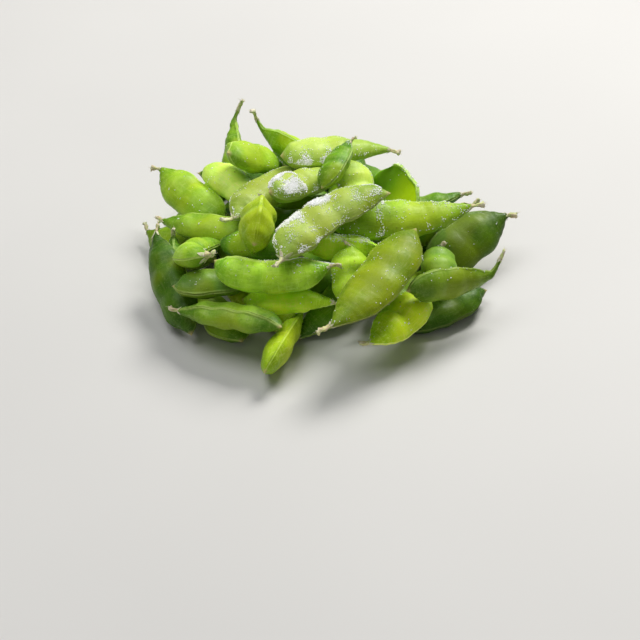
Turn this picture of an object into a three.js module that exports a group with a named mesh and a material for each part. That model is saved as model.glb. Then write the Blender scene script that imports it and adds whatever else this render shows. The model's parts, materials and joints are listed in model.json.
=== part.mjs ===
// A bundle of boiled, salted edamame pods in one loose heap, served as finger food.
// Millimetres, +Z up, the heap's front is -Y, and the pods lie on a flat surface at z = 0.
// Each pod is one solid, because its stalk, calyx, walls and beak grew as one piece.
import * as THREE from 'three';

// ---- an ordinary pod ----------------------------------------------------------------------
// taper is the share of the length by which it is full, blunt how round its beak end is, and dish how
// far its upper wall has sunk into the pod.
const POD = {
  length: 55, width: 13.5, thick: 9.6, beans: 3, taper: 0.45, blunt: 2.2, dish: 0, turn: 18, roll: 0, hook: 2,
};
const SIDES = 10; // corners of a pod's section, two of them on its seams
const BEAK_DROP = 1.6; // how far the beak leaves the pod's line
const SEAM_RIDGE = 0.35; // how far a seam stands out of the section
const WAIST_IN = 0.06; // share of the width lost between two beans
const FLAT_SHARE = 0.76; // thickness between two beans, as a share of that over a bean

// The stalk up to the calyx: [share of length, share of half width, share of half thickness].
const STALK = [[0, 0.09, 0.12], [0.03, 0.12, 0.18], [0.08, 0.11, 0.16], [0.105, 0.19, 0.25]];
const BEAK_FROM = 0.71; // share of the length at which a pod starts to narrow to its beak
const BEAK_TIP = 0.05; // share of the width left at the beak's point

// Greens of the pods. A pod that isn't listed here is fresh green if it shows and deep green if not.
const TONES = {
  fresh: { color: 0x7fae2e, pods: [] },
  pale: {
    color: 0xb7cd62,
    pods: ['salty_star', 'salty_small', 'pale_long', 'back_pale', 'left_round', 'back_tip'],
  },
  olive: {
    color: 0x9db53a,
    pods: ['front_big', 'ridge_up', 'front_tip', 'front_right_tip', 'under_long'],
  },
  deep: {
    color: 0x4f8524,
    pods: [
      'back_thin', 'back_stub', 'back_right', 'boat', 'left_far_low', 'left_rim', 'left_narrow',
      'mid_left', 'mid_dark', 'front_dark', 'right_wide', 'right_under', 'right_low', 'blue_bit',
    ],
  },
};

// ---- how the pods lie ---------------------------------------------------------------------
const GAP = 0.7; // clearance kept between neighbours
const FLATTENED = 1; // depth by which a pod on the surface is pressed flat
const NEAR_FLAT = 0.5; // a corner less than this above the surface lies on it too
const END_CLEAR = 0.2; // how far above the surface such a pod's two end points stay
const SIGHT = THREE.MathUtils.degToRad(35); // how far the view from the front looks down
const BALL_STEP = 2.6; // spacing of the balls that stand for a pod while the heap settles
const ROUNDS = 420; // rounds of settling
const GROWN_BY = 120; // round by which the balls have their full size
const FREE_FROM = 340; // round from which the pods only push each other apart
const PULL = { aside: 0.15, deep: 0.02, turn: 0.06, hidden: 0.01 }; // share of the way home a round
const FALL = 0.06; // how far a pod sinks in a round

// Pods that show from the front. at is where a pod's middle should be seen, in millimetres. yaw is the
// heading from stalk to beak and pitch its rise, roll turns a seam upwards, and turn bends the pod in
// the plane of its seams. The first rows are the front of the heap, then its sides, back and top.
const SHOWN = [
  {
    name: 'front_tip', at: [-15, -55, 8], yaw: -108, pitch: 0,
    length: 40, beans: 2, roll: 70, taper: 0.55,
  },
  { name: 'front_right_tip', at: [27, -52, 10.5], yaw: 58, pitch: 0, length: 40, beans: 2, roll: 15 },
  { name: 'blue_bit', at: [28, -38, 10], yaw: 45, pitch: 5, length: 36, beans: 2 },
  { name: 'right_low', at: [42, -43, 5], yaw: 30, pitch: 0, length: 42 },
  { name: 'front_left_deep', at: [-38, -37, 8], yaw: -36, pitch: 0, length: 40, beans: 2 },
  { name: 'under_long', at: [-25, -38, 9], yaw: -31, pitch: 0, length: 40 },
  { name: 'front_dark', at: [2, -38, 7], yaw: 40, pitch: 5, length: 42, beans: 2 },
  { name: 'front_left', at: [-34, -46, 10], yaw: -27, pitch: -4, length: 46, roll: -15, turn: -25 },
  {
    name: 'front_mid', at: [-11.5, -46, 14], yaw: 178, pitch: 0,
    length: 36, width: 13, beans: 2, taper: 0.6,
  },
  {
    name: 'centre_stub', at: [11, -40, 24], yaw: -75, pitch: -20,
    length: 25, width: 13, beans: 2, hook: -3, taper: 0.36, blunt: 1.7,
  },
  {
    name: 'front_big', at: [18.5, -47, 22.5], yaw: 56, pitch: 5,
    length: 62, width: 18, turn: 30, blunt: 2,
  },
  { name: 'left_rim', at: [-53, -24, 12], yaw: -63, pitch: -2, length: 52, roll: 35, turn: 20 },
  {
    name: 'left_narrow', at: [-54, -12, 11], yaw: -107, pitch: -14,
    length: 25, width: 10, roll: 80, hook: 4,
  },
  { name: 'left_tip', at: [-38, -34, 16], yaw: 170, pitch: 0, length: 33, beans: 2 },
  {
    name: 'curled', at: [-44, -24, 22], yaw: 92, pitch: -16,
    length: 38, width: 11, turn: -165, roll: -15, blunt: 3,
  },
  { name: 'left_far_low', at: [-53, -1, 11], yaw: -30, pitch: 5, length: 40, roll: 30 },
  { name: 'left_far_top', at: [-41, -6, 19], yaw: -25, pitch: 4, length: 48, turn: 16 },
  {
    name: 'left_up', at: [-49.5, 23, 19], yaw: -42, pitch: -6,
    length: 42, width: 14, beans: 2, hook: -3, blunt: 3, roll: 25,
  },
  { name: 'mid_left', at: [-20, -20, 22], yaw: 145, pitch: 0, length: 38, beans: 2 },
  {
    name: 'right_wide', at: [53.5, -9, 15.5], yaw: -155, pitch: -2,
    length: 43, width: 17, beans: 2, roll: -30,
  },
  {
    name: 'right_hook', at: [45.5, -35, 15], yaw: -159, pitch: 0,
    length: 40, width: 12, hook: 9, roll: 90, taper: 0.6,
  },
  { name: 'right_under', at: [40, -10, 16], yaw: -141, pitch: 0, length: 56, roll: 65 },
  { name: 'right_blunt', at: [43.5, -29, 16], yaw: -78, pitch: -12, length: 24, width: 12, beans: 2 },
  { name: 'back_right', at: [37, 1, 21], yaw: -178, pitch: 2, length: 44, roll: 25 },
  {
    name: 'right_big', at: [31, -15, 27], yaw: -167, pitch: -1,
    length: 62, width: 16, turn: -45, roll: -25, taper: 0.62, blunt: 4,
  },
  {
    name: 'back_upright', at: [-32, 41, 20], yaw: -94, pitch: -25,
    length: 48, width: 11, hook: 7, roll: 60, taper: 0.6,
  },
  {
    name: 'back_left_wide', at: [-24, 32, 25.5], yaw: -145, pitch: -5, roll: -25,
    length: 36, width: 15, beans: 2, blunt: 3,
  },
  { name: 'back_stub', at: [-9, 33, 29], yaw: -46, pitch: -4, length: 42, hook: 8, roll: 100 },
  {
    name: 'left_round', at: [-28, 17, 22], yaw: 114, pitch: -5,
    length: 34, width: 15, beans: 2, blunt: 3.4,
  },
  { name: 'mid_dark', at: [-6, -18, 16], yaw: 5, pitch: 0, length: 44 },
  { name: 'shadow_mid', at: [-6, -24, 22], yaw: 175, pitch: 0, length: 42 },
  {
    name: 'centre_small', at: [8.5, -29, 26], yaw: -173, pitch: 0,
    length: 33, width: 11, beans: 2, roll: 65,
  },
  {
    name: 'long_s', at: [-15.5, -42, 25], yaw: 182, pitch: 0,
    length: 47, turn: -55, roll: -32, width: 12, taper: 0.36, blunt: 4,
  },
  {
    name: 'ridge_up', at: [-21.5, -17, 27], yaw: -95, pitch: 14,
    length: 28, width: 14, thick: 13, beans: 2, roll: 80, taper: 0.35,
  },
  { name: 'back_tip', at: [16, 1, 29], yaw: 116, pitch: 5, length: 36, width: 13, blunt: 3 },
  {
    name: 'boat', at: [29, -3, 29], yaw: 140, pitch: 6,
    length: 30, width: 16, beans: 2, roll: -50, dish: 1.2, blunt: 3,
  },
  {
    name: 'back_pale', at: [9, 26, 31.5], yaw: -170, pitch: -4,
    length: 46, width: 15, turn: 30, taper: 0.65, blunt: 4,
  },
  {
    name: 'pale_long', at: [-19, 4, 29], yaw: 45, pitch: 4,
    length: 56, width: 15, turn: -40, hook: 4, taper: 0.4, blunt: 3,
  },
  { name: 'salty_small', at: [-4, 9, 30.5], yaw: -150, pitch: -2, length: 38, width: 13, blunt: 4 },
  {
    name: 'back_thin', at: [7, 14, 33], yaw: -126, pitch: -10,
    length: 29, width: 11, roll: 35, thick: 8.5,
  },
  {
    name: 'salty_star', at: [0, -27, 36], yaw: 43, pitch: 5,
    length: 58, width: 16, turn: -68, taper: 0.3, blunt: 2.6,
  },
];

// Pods inside and behind the heap: rings of them, each pod's heading drawn at random about the ring.
const RINGS = [
  { name: 'floor', count: 7, radius: 37.5, x: 1, y: 4, z: 4, spread: 34, lean: 90 },
  { name: 'heart', count: 2, radius: 9, x: -2, y: 2, z: 5, spread: 30, lean: 60 },
  { name: 'back', count: 6, radius: 22, x: -13, y: 28, z: 6, spread: 30, lean: 80 },
];

const rad = THREE.MathUtils.degToRad;
const lerp = THREE.MathUtils.lerp;
const smooth = THREE.MathUtils.smoothstep;

// A repeatable stream of numbers from 0 to 1.
function stream(seed) {
  let state = seed;
  return () => {
    state = (state * 1664525 + 1013904223) % 4294967296;
    return state / 4294967296;
  };
}

// ---- the shape of a pod -------------------------------------------------------------------
// Where the beans lie, as shares of the pod's length.
function beanPlaces(pod) {
  const step = pod.beans === 3 ? 0.21 : 0.28;
  const places = [];
  for (let i = 0; i < pod.beans; i++) places.push(0.5 + (i - (pod.beans - 1) / 2) * step);
  return { places, step };
}

// Stations along the pod: stalk, calyx, then over each bean, between beans, and down the beak.
function stationsOf(pod) {
  const { places, step } = beanPlaces(pod);
  const shoulder = places[pod.beans - 1] + 0.4 * step;
  const list = [0.03, 0.075, 0.105, 0.15, places[0] - 0.4 * step];
  places.forEach((place, i) => {
    if (i) list.push(place - step / 2);
    list.push(place);
  });
  list.push(shoulder, lerp(shoulder, 0.92, 0.52), 0.92, 0.965);
  return list;
}

// Share of its full width and thickness that a pod has at a share t of the length.
function fullnessAt(pod, t) {
  const [calyx, neckWidth, neckThick] = STALK[STALK.length - 1];
  if (t < calyx) {
    const i = STALK.findIndex((row) => row[0] > t);
    const part = (t - STALK[i - 1][0]) / (STALK[i][0] - STALK[i - 1][0]);
    return [lerp(STALK[i - 1][1], STALK[i][1], part), lerp(STALK[i - 1][2], STALK[i][2], part)];
  }
  const rise = Math.sin((Math.PI / 2) * Math.min(1, (t - calyx) / (pod.taper - calyx)));
  const fall = Math.max(0, (t - BEAK_FROM) / (1 - BEAK_FROM));
  const left = Math.max(BEAK_TIP, 1 - fall ** pod.blunt);
  return [lerp(neckWidth, 1, rise) * left, lerp(neckThick, 1, rise) * left];
}

// Half width and half thickness at a share t of the length, and how far the seams stand out.
function sectionAt(pod, t) {
  const [wide, deep] = fullnessAt(pod, Math.max(0, t));
  const { places, step } = beanPlaces(pod);
  const off = Math.min(...places.map((place) => Math.abs(t - place))) / (0.62 * step);
  const bean = Math.cos((Math.PI / 2) * Math.min(1, off));
  const body = smooth(t, 0.12, 0.2) * (1 - smooth(t, 0.8, 0.9));
  return {
    width: (pod.width / 2) * wide * (1 - WAIST_IN * (1 - bean) * body),
    thick: (pod.thick / 2) * deep * lerp(1, lerp(FLAT_SHARE, 1, bean), body),
    ridge: SEAM_RIDGE * body,
    body,
  };
}

// The pod's own line: an arc in the plane of its seams, with a hooked stalk and a dropped beak.
function lineAt(pod, t) {
  const angle = rad(pod.turn) * (t - 0.5);
  const radius = pod.length / rad(pod.turn);
  const stalk = Math.max(0, 1 - t / 0.11) ** 1.6;
  const beak = Math.max(0, (t - 0.86) / 0.14) ** 1.5;
  const aside = radius * (1 - Math.cos(angle)) + pod.hook * stalk - BEAK_DROP * beak;
  return new THREE.Vector3(radius * Math.sin(angle), aside, 0);
}

// The line's point at t, and the direction from seam to seam there.
function frameAt(pod, t) {
  const along = lineAt(pod, t + 0.01).sub(lineAt(pod, t - 0.01)).normalize();
  return { centre: lineAt(pod, t), side: new THREE.Vector3(-along.y, along.x, 0) };
}

// One closed skin: a ring of corners at each station, closed by a point at each end.
function podGeometry(pod) {
  const stations = stationsOf(pod);
  const points = [lineAt(pod, 0)];
  for (const t of stations) {
    const { centre, side } = frameAt(pod, t);
    const { width, thick, ridge, body } = sectionAt(pod, t);
    for (let k = 0; k < SIDES; k++) {
      const a = (2 * Math.PI * k) / SIDES;
      const seam = k % (SIDES / 2) ? 0 : ridge * Math.sign(Math.cos(a));
      const corner = centre.clone().addScaledVector(side, Math.cos(a) * width + seam);
      const sunk = Math.sin(a) > 0 ? pod.dish * body : 0;
      corner.z = Math.sin(a) * thick * (1 - sunk);
      points.push(corner);
    }
  }
  points.push(lineAt(pod, 1));
  const index = [];
  const last = points.length - 1;
  const rings = stations.length;
  const at = (ring, k) => 1 + ring * SIDES + (k % SIDES);
  for (let k = 0; k < SIDES; k++) {
    index.push(0, at(0, k + 1), at(0, k));
    for (let ring = 0; ring < rings - 1; ring++) {
      index.push(at(ring, k), at(ring, k + 1), at(ring + 1, k));
      index.push(at(ring, k + 1), at(ring + 1, k + 1), at(ring + 1, k));
    }
    index.push(last, at(rings - 1, k), at(rings - 1, k + 1));
  }
  return new THREE.BufferGeometry().setFromPoints(points).setIndex(index);
}

// ---- settling -----------------------------------------------------------------------------
// A pod on its way to rest. Balls fill it, in rows between its seams, and press on other pods' balls.
function bodyOf(pod, mesh, middle) {
  const balls = [];
  for (let t = 0.02; t < 1; t += BALL_STEP / pod.length) {
    const { width, thick } = sectionAt(pod, t);
    const { centre, side } = frameAt(pod, t);
    const reach = Math.max(0, width - thick);
    const rows = reach > 0.5 * thick ? [-1, 0, 1] : [-1, 1];
    for (const share of rows) {
      balls.push({ place: centre.clone().addScaledVector(side, share * reach).sub(middle), size: thick });
    }
  }
  const home = { position: mesh.position.clone(), quaternion: mesh.quaternion.clone() };
  const body = { pod, mesh, home, balls, at: new Float64Array(3 * balls.length) };
  refresh(body);
  return body;
}

// Works out where a body's balls are in the heap.
const scratch = new THREE.Vector3();
function refresh({ mesh, balls, at }) {
  balls.forEach(({ place }, i) => {
    scratch.copy(place).applyQuaternion(mesh.quaternion).add(mesh.position).toArray(at, 3 * i);
  });
}

// How easily a body gives way at a point: one for its shift, and more for its turn.
function easeOf(body, point, normal) {
  const arm = point.clone().sub(body.mesh.position);
  return 1 + (12 / body.pod.length ** 2) * arm.cross(normal).lengthSq();
}

// Shifts a body by a push at a point, and turns it as far as the push's arm asks.
function shove(body, point, push) {
  const arm = point.clone().sub(body.mesh.position);
  const spin = arm.cross(push).multiplyScalar(12 / body.pod.length ** 2);
  const angle = spin.length();
  body.mesh.position.add(push);
  if (angle > 1e-9) {
    const turn = new THREE.Quaternion().setFromAxisAngle(spin.divideScalar(angle), angle);
    body.mesh.quaternion.premultiply(turn);
  }
  refresh(body);
}

// The two balls of a pair of bodies that press deepest into each other.
function deepestPair(a, b, grown) {
  let worst = { depth: 0 };
  const reach = (a.pod.length + b.pod.length) / 2 + 4;
  if (a.mesh.position.distanceTo(b.mesh.position) > reach) return worst;
  for (let i = 0; i < a.balls.length; i++) {
    for (let j = 0; j < b.balls.length; j++) {
      const dx = a.at[3 * i] - b.at[3 * j];
      const dy = a.at[3 * i + 1] - b.at[3 * j + 1];
      const dz = a.at[3 * i + 2] - b.at[3 * j + 2];
      const near = grown * (a.balls[i].size + b.balls[j].size) + GAP;
      const apart = dx * dx + dy * dy + dz * dz;
      if (apart >= near * near) continue;
      const depth = near - Math.sqrt(apart);
      if (depth > worst.depth) worst = { depth, i, j };
    }
  }
  return worst;
}

// Pushes two bodies apart where they press deepest.
function separate(a, b, grown) {
  const { depth, i, j } = deepestPair(a, b, grown);
  if (!depth) return;
  const p = new THREE.Vector3().fromArray(a.at, 3 * i);
  const q = new THREE.Vector3().fromArray(b.at, 3 * j);
  const normal = p.clone().sub(q).normalize();
  const point = p.add(q).multiplyScalar(0.5);
  const share = depth / (easeOf(a, point, normal) + easeOf(b, point, normal));
  shove(a, point, normal.clone().multiplyScalar(share));
  shove(b, point, normal.multiplyScalar(-share));
}

// Lifts a body where it dips deepest below the surface.
function lift(body) {
  let depth = 0;
  let deepest = 0;
  body.balls.forEach(({ size }, i) => {
    const dip = size - FLATTENED - body.at[3 * i + 2];
    if (dip > depth) {
      depth = dip;
      deepest = i;
    }
  });
  if (!depth) return;
  const point = new THREE.Vector3().fromArray(body.at, 3 * deepest);
  const up = new THREE.Vector3(0, 0, 1);
  shove(body, point, up.multiplyScalar(depth / easeOf(body, point, up)));
}

// Draws a body home, firmly across the sight line and weakly along it, and lets it sink.
function drawHome(body) {
  const { mesh, home, pod } = body;
  const off = home.position.clone().sub(mesh.position);
  if (pod.hidden) {
    mesh.position.addScaledVector(off, PULL.hidden);
  } else {
    const sight = new THREE.Vector3(0, Math.cos(SIGHT), -Math.sin(SIGHT));
    const deep = off.dot(sight);
    mesh.position.addScaledVector(off, PULL.aside).addScaledVector(sight, (PULL.deep - PULL.aside) * deep);
    mesh.quaternion.slerp(home.quaternion, PULL.turn);
  }
  mesh.position.z -= FALL;
  refresh(body);
}

// Lets the heap settle: the bodies grow to size near home, then only push each other apart.
function settle(bodies) {
  for (let round = 0; round < ROUNDS; round++) {
    const grown = Math.min(1, 0.35 + (0.65 * round) / GROWN_BY);
    if (round < FREE_FROM) bodies.forEach(drawHome);
    bodies.forEach((body, i) => {
      for (const other of bodies.slice(i + 1)) separate(body, other, grown);
      lift(body);
    });
  }
}

// Presses a pod flat where it reaches below the surface or nearly touches it, all but its end points.
function press(mesh) {
  mesh.updateMatrixWorld(true);
  const position = mesh.geometry.getAttribute('position');
  const back = mesh.matrixWorld.clone().invert();
  for (let i = 0; i < position.count; i++) {
    scratch.fromBufferAttribute(position, i).applyMatrix4(mesh.matrixWorld);
    const end = i === 0 || i === position.count - 1;
    if (scratch.z < NEAR_FLAT) scratch.z = end ? END_CLEAR : 0;
    scratch.applyMatrix4(back);
    position.setXYZ(i, scratch.x, scratch.y, scratch.z);
  }
}

// ---- the bundle ---------------------------------------------------------------------------
function hiddenPods() {
  const draw = stream(11);
  const list = [];
  for (const ring of RINGS) {
    for (let i = 0; i < ring.count; i++) {
      const around = (360 * (i + 0.3 * (draw() - 0.5))) / ring.count;
      const x = ring.x + ring.radius * Math.cos(rad(around));
      const y = ring.y + ring.radius * Math.sin(rad(around));
      list.push({
        name: ring.name + '_' + (i + 1),
        hidden: true,
        at: [x, y, ring.z],
        yaw: around + ring.lean + ring.spread * (draw() - 0.5),
        pitch: 0,
        roll: 40 * (draw() - 0.5),
        length: 46 + 8 * draw(),
        beans: draw() < 0.4 ? 2 : 3,
      });
    }
  }
  return list;
}

function toneOf(pod) {
  const listed = Object.values(TONES).find((tone) => tone.pods.includes(pod.name));
  return listed || (pod.hidden ? TONES.deep : TONES.fresh);
}

const bundle = new THREE.Group();
const bodies = [...hiddenPods(), ...SHOWN].map((row) => {
  const pod = { ...POD, ...row };
  const geometry = podGeometry(pod);
  geometry.computeBoundingBox();
  const middle = geometry.boundingBox.getCenter(new THREE.Vector3());
  geometry.translate(-middle.x, -middle.y, -middle.z);
  const color = toneOf(pod).color;
  const mesh = new THREE.Mesh(geometry, new THREE.MeshStandardMaterial({ color, roughness: 0.45 }));
  mesh.name = 'pod_' + pod.name;
  mesh.rotation.set(rad(pod.roll), -rad(pod.pitch), rad(pod.yaw), 'ZYX');
  mesh.position.set(...pod.at);
  bundle.add(mesh);
  return bodyOf(pod, mesh, middle);
});
settle(bodies);
bundle.children.forEach(press);

// The origin is under the middle of the heap.
const centre = new THREE.Box3().setFromObject(bundle, true).getCenter(new THREE.Vector3());
for (const mesh of bundle.children) {
  mesh.position.x -= centre.x;
  mesh.position.y -= centre.y;
}

export default bundle;
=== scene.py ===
import json
import math

import bpy
import numpy as np
from mathutils import Matrix, Vector


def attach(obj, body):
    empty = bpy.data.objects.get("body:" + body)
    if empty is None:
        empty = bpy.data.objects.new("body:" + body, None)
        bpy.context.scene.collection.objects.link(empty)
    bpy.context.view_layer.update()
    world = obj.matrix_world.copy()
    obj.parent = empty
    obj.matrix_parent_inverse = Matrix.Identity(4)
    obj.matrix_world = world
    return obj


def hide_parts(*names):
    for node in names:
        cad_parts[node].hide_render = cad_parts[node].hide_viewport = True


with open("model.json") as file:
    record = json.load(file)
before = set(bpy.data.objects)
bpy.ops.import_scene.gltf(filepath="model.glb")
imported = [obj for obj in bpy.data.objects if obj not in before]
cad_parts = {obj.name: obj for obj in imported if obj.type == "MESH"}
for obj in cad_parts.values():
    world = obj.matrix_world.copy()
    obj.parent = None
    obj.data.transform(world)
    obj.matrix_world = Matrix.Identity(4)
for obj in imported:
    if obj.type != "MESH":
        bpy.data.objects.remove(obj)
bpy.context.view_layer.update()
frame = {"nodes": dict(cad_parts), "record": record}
mm = 0.001
print("frame loaded with", len(frame["nodes"]), "pods")

# which tone each pod's skin has, from the record's slots
toneOf = {row["node"]: row["material_slot"] for row in frame["record"]["subparts"]}


# camera: looks down on the heap from its front
shot = {
    "target": (-4.88, -55.09, 18.0),  # mm, the point in the middle of the picture
    "distance": 700.0,  # mm from there
    "elevation": 37.32,  # degrees above the surface
    "roll": 2.69,  # degrees, lifts the right side of the picture
    "lens": 111.8,
    "sensor": 36,
    "clipStart": 0.01,  # metres
}


def placeCamera():
    height, roll = math.radians(shot["elevation"]), math.radians(shot["roll"])
    back = Vector((0, -math.cos(height), math.sin(height)))
    right = Vector((1, 0, 0))
    up = back.cross(right)
    side = right * math.cos(roll) - up * math.sin(roll)
    top = up * math.cos(roll) + right * math.sin(roll)
    data = bpy.data.cameras.new("camera")
    data.lens = shot["lens"]
    data.sensor_width = shot["sensor"]
    data.clip_start = shot["clipStart"]
    camera = bpy.data.objects.new("camera", data)
    camera.matrix_world = Matrix((side, top, back)).transposed().to_4x4()
    camera.location = (Vector(shot["target"]) + back * shot["distance"]) * mm
    bpy.context.scene.collection.objects.link(camera)
    bpy.context.scene.camera = camera


placeCamera()
print("camera placed")


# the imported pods, read back as rings of corners
packed = {
    "sides": 10,
    "mergeStep": 1e-6,  # metres, corners closer than this are one
    "endRings": 4,  # rings at each end that belong to the stalk or the beak
}
halfSides = packed["sides"] // 2  # from one seam to the other


def orderedRing(ring, near):
    # walks once round a ring of corners
    walk = [min(ring)]
    while len(walk) < len(ring):
        walk.append(min(c for c in near[walk[-1]] if c in ring and c not in walk))
    return walk


def ringsOf(obj):
    # corners of the rings from stalk to beak, in mm, as (ring, corner, xyz), and the two end points
    mesh = obj.data
    flat = np.empty(len(mesh.vertices) * 3)
    mesh.vertices.foreach_get("co", flat)
    cells = np.round(flat.reshape(-1, 3) / packed["mergeStep"]).astype(int)
    places, same = np.unique(cells, axis=0, return_inverse=True)
    same = same.ravel()
    corners = places * packed["mergeStep"] / mm
    near = [set() for _ in corners]
    for face in mesh.polygons:
        loop = [int(same[v]) for v in face.vertices]
        for a, b in zip(loop, loop[1:] + loop[:1]):
            near[a].add(b)
            near[b].add(a)
    ends = [i for i, touching in enumerate(near) if len(touching) == packed["sides"]]
    rings, seen, level = [], {ends[0]}, near[ends[0]]
    while len(level) > 1:
        rings.append(corners[orderedRing(level, near)])
        seen |= level
        level = set().union(*(near[c] for c in level)) - seen
    rings = np.array(rings)
    first, last = corners[ends[0]], corners[ends[1]]
    sizes = np.linalg.norm(rings - rings.mean(1, keepdims=True), axis=2).mean(1)
    if sizes[1] / sizes[0] > sizes[-2] / sizes[-1]:  # the stalk is the end that doesn't widen at once
        rings, first, last = rings[::-1], last, first
    return alignRings(rings), first, last


def alignRings(rings):
    # turns every ring the same way round, starts it beside the ring before it, and puts a seam at corner 0
    rings = rings.copy()
    centres = rings.mean(1)
    ahead = np.gradient(centres, axis=0)
    count = rings.shape[1]
    for r, ring in enumerate(rings):
        arms = ring - centres[r]
        if np.cross(arms, np.roll(arms, -1, 0)).sum(0) @ ahead[r] < 0:
            rings[r] = ring[::-1]
        if r:
            before = rings[r - 1] - centres[r - 1]
            before /= np.linalg.norm(before, axis=1).mean()
            arms = rings[r] - centres[r]
            arms /= np.linalg.norm(arms, axis=1).mean()
            misses = [np.linalg.norm(np.roll(arms, -k, 0) - before) for k in range(count)]
            rings[r] = np.roll(rings[r], -int(np.argmin(misses)), 0)
    middle = rings[packed["endRings"] : -packed["endRings"]].mean(0)
    widths = [np.linalg.norm(middle[k] - middle[k + halfSides]) for k in range(halfSides)]
    return np.roll(rings, -int(np.argmax(widths)), 1)


# smooth curves through the corners
def naturalCurve(knots, values, at):
    # cubic spline with free ends
    count = len(knots)
    gap = np.diff(knots)
    slope = np.diff(values, axis=0) / gap[:, None]
    system = np.eye(count)
    bends = np.zeros_like(values)
    for i in range(1, count - 1):
        system[i, i - 1 : i + 2] = gap[i - 1], 2 * (gap[i - 1] + gap[i]), gap[i]
        bends[i] = 6 * (slope[i] - slope[i - 1])
    bends = np.linalg.solve(system, bends)
    i = np.clip(np.searchsorted(knots, at) - 1, 0, count - 2)
    width = gap[i][:, None]
    left, rest = (knots[i + 1] - at)[:, None], (at - knots[i])[:, None]
    cubic = (bends[i] * left**3 + bends[i + 1] * rest**3) / (6 * width)
    return cubic + (values[i] / width - bends[i] * width / 6) * left + (
        values[i + 1] / width - bends[i + 1] * width / 6
    ) * rest


def roundCurve(columns, at):
    # closed spline through the corners of every ring at once, columns being (corner, anything)
    extra = halfSides  # corners repeated past each end, which closes it smoothly
    knots = np.arange(-extra, len(columns) + extra).astype(float)
    return naturalCurve(knots, columns[knots.astype(int) % len(columns)], at)


rippleWaves = {"count": 14, "spread": (0.6, 1.6)}  # waves in a ripple, and how their sizes differ


class Ripple:
    # smooth repeatable bumps, a sum of waves that run in all directions
    def __init__(self, seed, size):
        draw = np.random.default_rng(seed)
        count = rippleWaves["count"]
        heading = draw.normal(size=(count, 3))
        heading /= np.linalg.norm(heading, axis=1)[:, None]
        self.waves = heading * (2 * math.pi / size) * draw.uniform(*rippleWaves["spread"], (count, 1))
        self.phase = draw.uniform(0, 2 * math.pi, count)
        self.scale = math.sqrt(2 / count)

    def __call__(self, points):
        return np.sin(points @ self.waves.T + self.phase).sum(-1) * self.scale


def smoothStep(low, high, x):
    t = np.clip((x - low) / (high - low), 0, 1)
    return t * t * (3 - 2 * t)


# the skin of a pod, in mm unless noted
skinShape = {
    "alongStep": 0.62,
    "hiddenStep": 1.3,
    "roundSteps": 12,  # places round the section between the two seams
    "hiddenRoundSteps": 8,
    "seamRidge": 0.26,
    "seamHalf": 0.36,  # from the seam's line to each of its two ridges
    "seamWidth": 0.24,
    "seamGroove": 0.16,
    "grooveWidth": 0.17,
    "waver": 0.25,  # share by which a seam's height varies
    "waverSize": 11,
    "keelWidth": 1.8,
    "lumps": 0.11,
    "lumpSize": 9.0,
    "creases": 0.10,
    "creaseSize": 2.6,
    "creaseStretch": (1.0, 0.35, 0.35),
    "waist": 0.62,  # thickness between two beans, as a share of the most
    "bodyFrom": (0.12, 0.2),  # shares of the length over which the relief fades in and out
    "bodyTo": (0.9, 0.985),
    "stalkEnd": 0.09,  # share of the length that is stalk
    "stalkFade": (0.03, 0.02),
    "stalkThin": 0.14,
    "stalkBlunt": 0.8,  # width of the stalk's broken end, as a share of its first ring
    "stalkHollow": 0.25,  # how far that end is sunk, and the beak drawn out, in steps along the pod
    "beakBlunt": 0.12,
    "beakReach": 0.3,
    "knobs": 0.16,
    "knobSize": 1.9,
    "breakReach": 1.1,
    "breakRise": (0.1, 0.4),  # how far the broken end stands out, and how unevenly
    "breakTurn": 7,
    "shadeEdge": (0.9, 1.6),  # from the seam to where the painted shade of the dark face is full
    "floorGap": 0.02,
}
seamOffsets = [0, 0.065, 0.13, 0.195, 0.275, 0.39, 0.58]  # in steps from corner to corner
hiddenOffsets = [0, 0.13, 0.39]


def aroundSamples(offsets, steps):
    # places round the section, closer together at the two seams
    wide = np.linspace(offsets[-1], halfSides - offsets[-1], steps + 1)[1:-1]
    half = np.concatenate([offsets, wide, halfSides - np.array(offsets[::-1])])
    return np.concatenate([half, half[1:-1] + halfSides])


def above(points):
    # nothing goes below the surface that the heap lies on
    points[..., 2] = np.maximum(points[..., 2], skinShape["floorGap"])
    return points


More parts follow.
